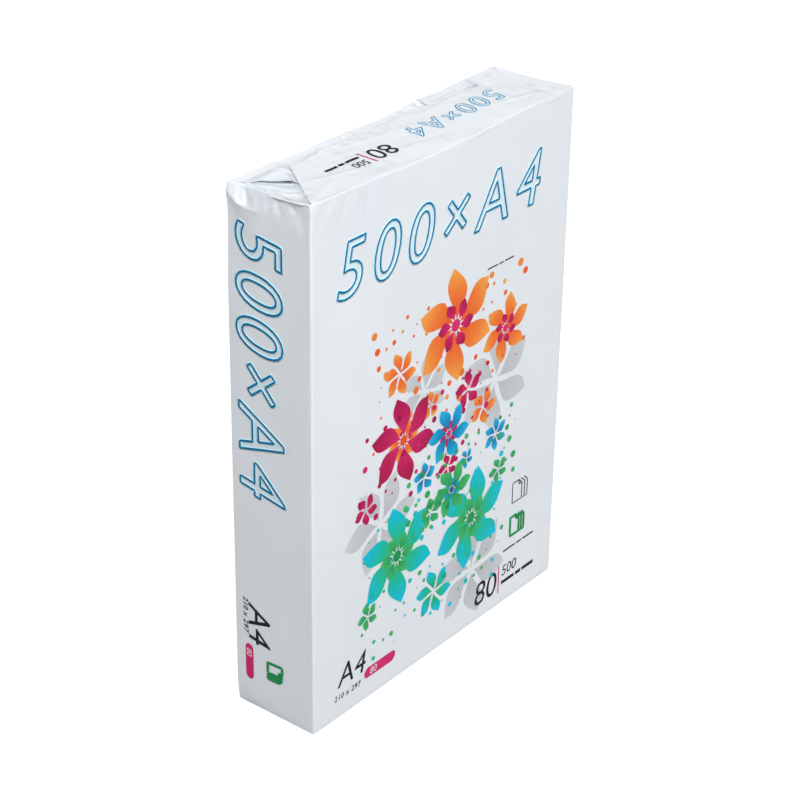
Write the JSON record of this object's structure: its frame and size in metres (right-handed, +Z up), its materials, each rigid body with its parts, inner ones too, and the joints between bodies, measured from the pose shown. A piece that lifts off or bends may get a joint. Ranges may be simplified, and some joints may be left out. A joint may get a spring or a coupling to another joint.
{
  "type": "ream of paper",
  "caption": "Sealed ream of A4 copier paper in a printed paper wrapper with envelope-folded ends, standing on its short end.",
  "frame": {"origin": "middle of the footprint, on the surface that the pack stands on", "axes": "+Z up along the long side of the sheets, +X across the front face, -Y out of the printed front face"},
  "size_m": [0.211, 0.0522, 0.3],
  "materials": {
    "wrapper_paper": "coated white paper, satin"
  },
  "bodies": {
    "root": {"wrapped_ream": "wrapper_paper"}
  },
  "joints": []
}
